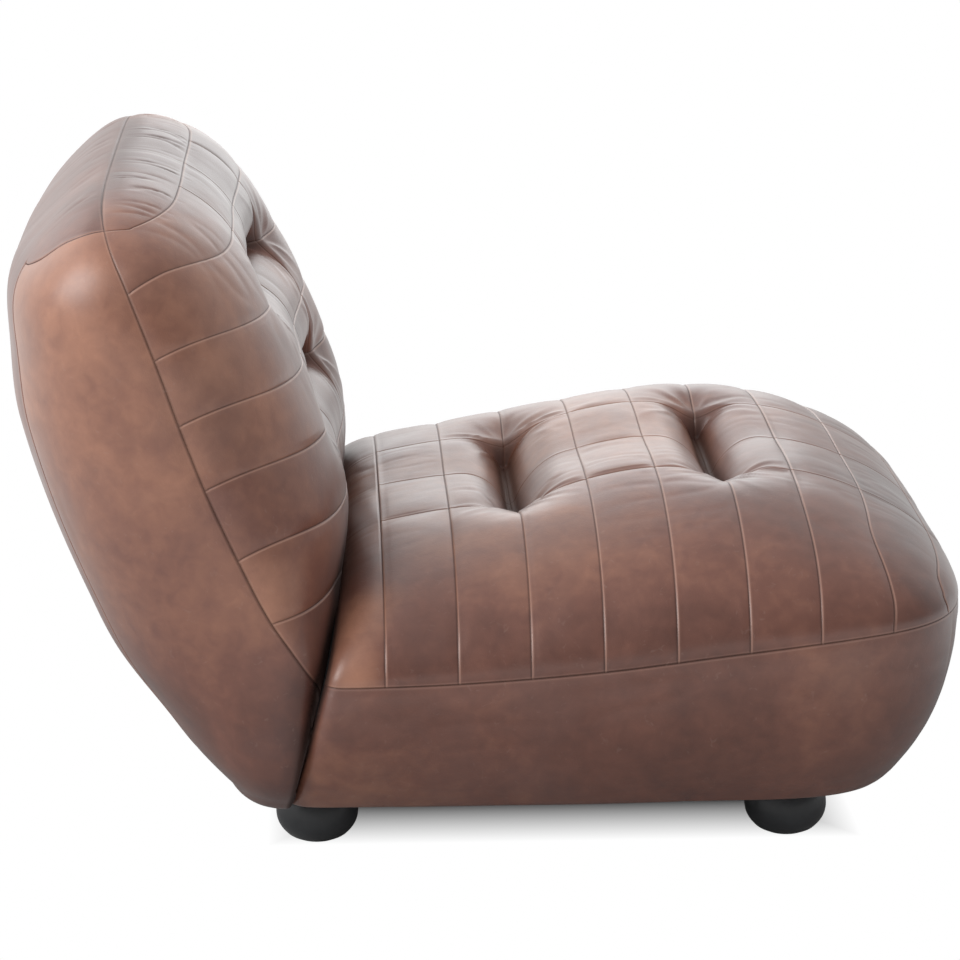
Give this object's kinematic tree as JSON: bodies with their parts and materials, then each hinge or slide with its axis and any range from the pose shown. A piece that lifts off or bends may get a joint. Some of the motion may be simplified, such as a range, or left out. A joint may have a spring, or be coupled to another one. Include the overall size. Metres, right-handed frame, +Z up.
{
  "type": "upholstered lounge chair",
  "caption": "Armless leather lounge chair: a deep tufted seat and a reclined tufted back, sewn from patches, on low round bun feet.",
  "frame": {"origin": "on the floor, below the middle of the chair's bounding box", "axes": "+Z up, the front of the seat towards -Y, +X towards the sitter's left"},
  "size_m": [0.857, 1.0501, 0.7277],
  "materials": {
    "brown_leather": "aged semi-gloss",
    "cream_foam": "open-cell foam",
    "black_lining": "non-woven lining",
    "beech": "planed, unfinished",
    "woven_webbing": "woven elastic webbing",
    "black_turned_wood": "satin black lacquer",
    "zinc_steel": "zinc plated"
  },
  "bodies": {
    "root": {"back_bottom_cloth": "black_lining", "back_bottom_rail": "beech", "back_foam_lower": "cream_foam", "back_foam_middle": "cream_foam", "back_foam_rear_lower": "cream_foam", "back_foam_rear_upper": "cream_foam", "back_foam_side_left": "cream_foam", "back_foam_side_right": "cream_foam", "back_foam_top": "cream_foam", "back_foam_upper": "cream_foam", "back_front_cover": "brown_leather", "back_pull_strip_lower": "black_lining", "back_pull_strip_upper": "black_lining", "back_rear_cover": "brown_leather", "back_side_panel_left": "brown_leather", "back_side_panel_right": "brown_leather", "back_top_rail": "beech", "back_tuft_bar_lower": "beech", "back_tuft_bar_upper": "beech", "back_upright_left": "beech", "back_upright_right": "beech", "back_webbing": "woven_webbing", "foot_bolt_front_left": "zinc_steel", "foot_bolt_front_right": "zinc_steel", "foot_bolt_rear_left": "zinc_steel", "foot_bolt_rear_right": "zinc_steel", "foot_front_left": "black_turned_wood", "foot_front_right": "black_turned_wood", "foot_rear_left": "black_turned_wood", "foot_rear_right": "black_turned_wood", "joining_bolt_left": "zinc_steel", "joining_bolt_right": "zinc_steel", "joining_nut_left": "zinc_steel", "joining_nut_right": "zinc_steel", "seat_base_board_front": "beech", "seat_base_board_left": "beech", "seat_base_board_rear": "beech", "seat_base_board_right": "beech", "seat_dust_cover": "black_lining", "seat_foam_front": "cream_foam", "seat_foam_middle": "cream_foam", "seat_foam_nose": "cream_foam", "seat_foam_rear": "cream_foam", "seat_foam_side_left": "cream_foam", "seat_foam_side_right": "cream_foam", "seat_front_panel": "brown_leather", "seat_front_rail": "beech", "seat_pull_strip_front": "black_lining", "seat_pull_strip_rear": "black_lining", "seat_rear_lining": "black_lining", "seat_rear_rail": "beech", "seat_side_panel_left": "brown_leather", "seat_side_panel_right": "brown_leather", "seat_side_rail_left": "beech", "seat_side_rail_right": "beech", "seat_top_cover": "brown_leather", "seat_tuft_bar_front": "beech", "seat_tuft_bar_rear": "beech", "seat_webbing": "woven_webbing"}
  },
  "joints": []
}
